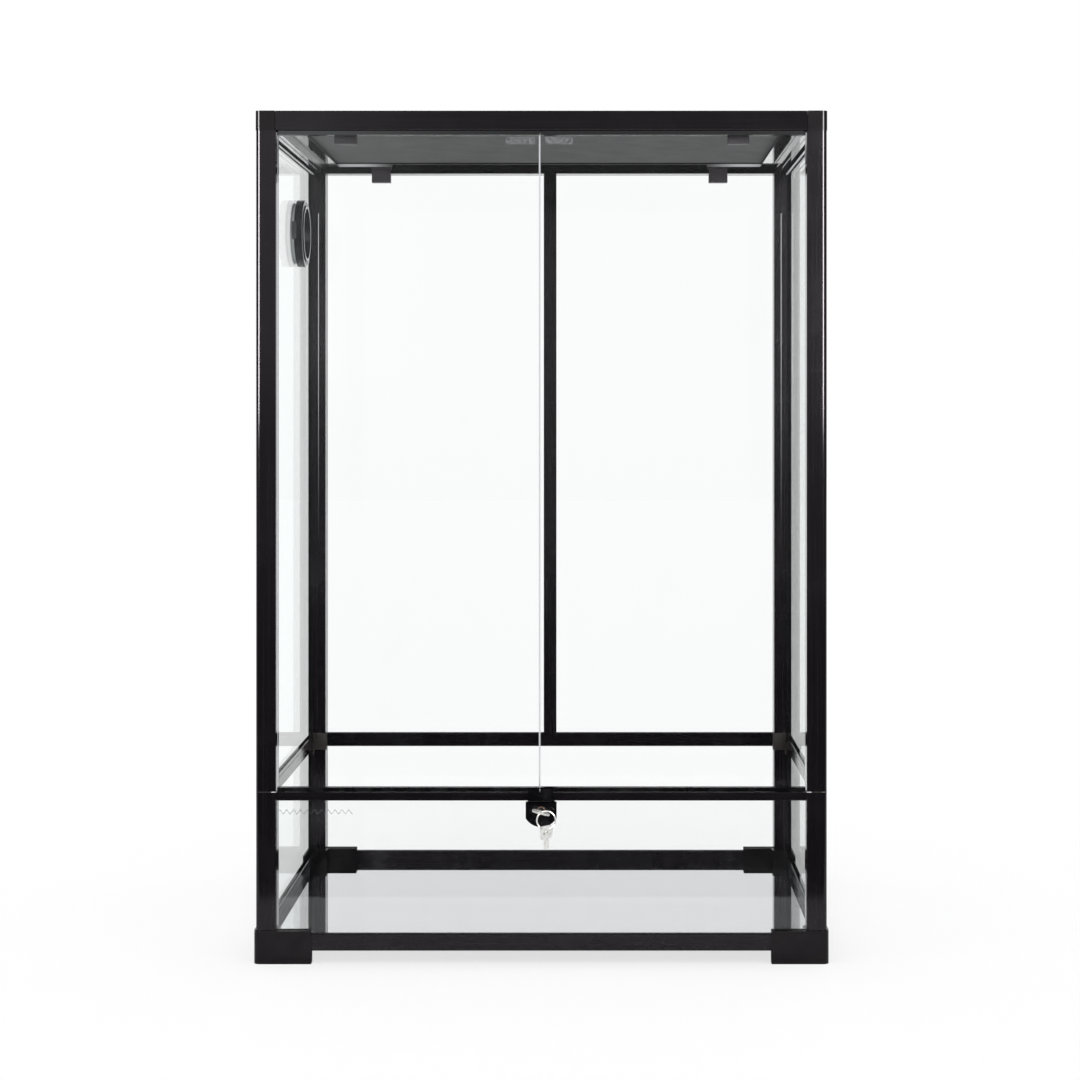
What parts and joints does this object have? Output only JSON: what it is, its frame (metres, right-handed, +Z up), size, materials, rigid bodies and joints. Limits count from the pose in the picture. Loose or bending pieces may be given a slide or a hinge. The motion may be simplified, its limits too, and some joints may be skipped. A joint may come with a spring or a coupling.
{
  "type": "reptile terrarium",
  "caption": "Tall front-opening glass terrarium with twin hinged doors, key lock, lift-out screen top and side port.",
  "frame": {"origin": "on the table, under the middle of the bounding box, the key in the lock included; the middle of the cabinet itself lies 15.5 mm behind it", "axes": "+X to the right and +Y to the back as seen from the doors, +Z up"},
  "size_m": [0.607, 0.4788, 0.9],
  "materials": {
    "profile_black": "satin black extruded profile with faint drawn streaks",
    "moulded_black": "satin black moulding",
    "pane_glass": "clear float glass, faint grey-green",
    "door_glass": "clear tempered glass with polished edges",
    "floor_pane": "clear float glass",
    "strip_black": "glossy black strip",
    "lock_black": "glossy black moulding",
    "barrel_metal": "plated barrel",
    "key_metal": "nickel-plated key",
    "ring_wire": "bright wire",
    "port_black": "satin black moulding",
    "screen_black": "satin black frame",
    "mesh_black": "fine black-coated wire mesh",
    "clip_grey": "matt dark grey moulding"
  },
  "bodies": {
    "cabinet": {"foot_front_left": "moulded_black", "foot_front_right": "moulded_black", "foot_rear_left": "moulded_black", "foot_rear_right": "moulded_black", "bottom_rail_front": "profile_black", "bottom_rail_rear": "profile_black", "bottom_rail_left": "profile_black", "bottom_rail_right": "profile_black", "floor_glass": "floor_pane", "lower_post_front_left": "profile_black", "lower_post_front_right": "profile_black", "lower_post_rear_left": "profile_black", "lower_post_rear_right": "profile_black", "upper_post_front_left": "profile_black", "upper_post_front_right": "profile_black", "upper_post_rear_left": "profile_black", "upper_post_rear_right": "profile_black", "post_joiners": "moulded_black", "sill_rail_front": "profile_black", "mid_rail_rear": "profile_black", "mid_rail_left": "profile_black", "mid_rail_right": "profile_black", "lower_glass_front": "pane_glass", "lower_glass_rear": "pane_glass", "lower_glass_left": "pane_glass", "lower_glass_right": "pane_glass", "upper_glass_left": "pane_glass", "upper_glass_right": "pane_glass", "upper_glass_rear_left": "pane_glass", "upper_glass_rear_right": "pane_glass", "rear_divider": "profile_black", "top_corner_front_left": "moulded_black", "top_corner_front_right": "moulded_black", "top_corner_rear_left": "moulded_black", "top_corner_rear_right": "moulded_black", "top_rail_front": "profile_black", "top_rail_rear": "profile_black", "top_rail_left": "profile_black", "top_rail_right": "profile_black", "lock_housing": "lock_black", "port_tube": "port_black"},
    "screen": {"screen_frame": "screen_black", "screen_mesh": "mesh_black"},
    "clip_front_left": {"clip_front_left": "clip_grey"},
    "clip_front_right": {"clip_front_right": "clip_grey"},
    "clip_rear_left": {"clip_rear_left": "clip_grey"},
    "clip_rear_right": {"clip_rear_right": "clip_grey"},
    "door_left": {"door_glass_left": "door_glass", "door_strips_left": "strip_black", "door_catch_left": "lock_black"},
    "door_right": {"door_glass_right": "door_glass", "door_strips_right": "strip_black", "door_catch_right": "lock_black"},
    "lock_barrel": {"lock_barrel": "barrel_metal"},
    "key": {"lock_key": "key_metal"},
    "key_ring": {"key_ring": "ring_wire"},
    "spare_key": {"spare_key": "key_metal"},
    "port_ring": {"port_ring": "port_black"}
  },
  "joints": [
    {"name": "door_left_hinge", "type": "hinge", "parent": "cabinet", "child": "door_left", "pos_m": [-0.2743, -0.20525, 0.1806], "axis": [0, 0, -1], "range_deg": [0, 100]},
    {"name": "door_right_hinge", "type": "hinge", "parent": "cabinet", "child": "door_right", "pos_m": [0.2743, -0.20525, 0.1806], "axis": [0, 0, 1], "range_deg": [0, 100]},
    {"name": "screen_lift", "type": "slide", "parent": "cabinet", "child": "screen", "axis": [0, 0, 1], "range_m": [0, 0.12]},
    {"name": "clip_front_left_slide", "type": "slide", "parent": "screen", "child": "clip_front_left", "axis": [0, -1, 0], "range_m": [0, 0.004]},
    {"name": "clip_front_right_slide", "type": "slide", "parent": "screen", "child": "clip_front_right", "axis": [0, -1, 0], "range_m": [0, 0.004]},
    {"name": "clip_rear_left_slide", "type": "slide", "parent": "screen", "child": "clip_rear_left", "axis": [0, 1, 0], "range_m": [0, 0.004]},
    {"name": "clip_rear_right_slide", "type": "slide", "parent": "screen", "child": "clip_rear_right", "axis": [0, 1, 0], "range_m": [0, 0.004]},
    {"name": "lock_turn", "type": "hinge", "parent": "cabinet", "child": "lock_barrel", "pos_m": [0, -0.21575, 0.1633], "axis": [0, 1, 0], "range_deg": [0, 90]},
    {"name": "key_pull", "type": "slide", "parent": "lock_barrel", "child": "key", "axis": [0, -1, 0], "range_m": [0, 0.028]},
    {"name": "key_ring_swing", "type": "hinge", "parent": "key", "child": "key_ring", "pos_m": [0, -0.23275, 0.1633], "axis": [0, -1, 0], "range_deg": [0, 30]},
    {"name": "spare_key_swing", "type": "hinge", "parent": "key_ring", "child": "spare_key", "pos_m": [0.00562, -0.23275, 0.15527], "axis": [0, -1, 0], "range_deg": [-25, 25]},
    {"name": "port_ring_twist", "type": "hinge", "parent": "cabinet", "child": "port_ring", "pos_m": [-0.2961, 0.08125, 0.7937], "axis": [1, 0, 0], "range_deg": [0, 45]}
  ]
}
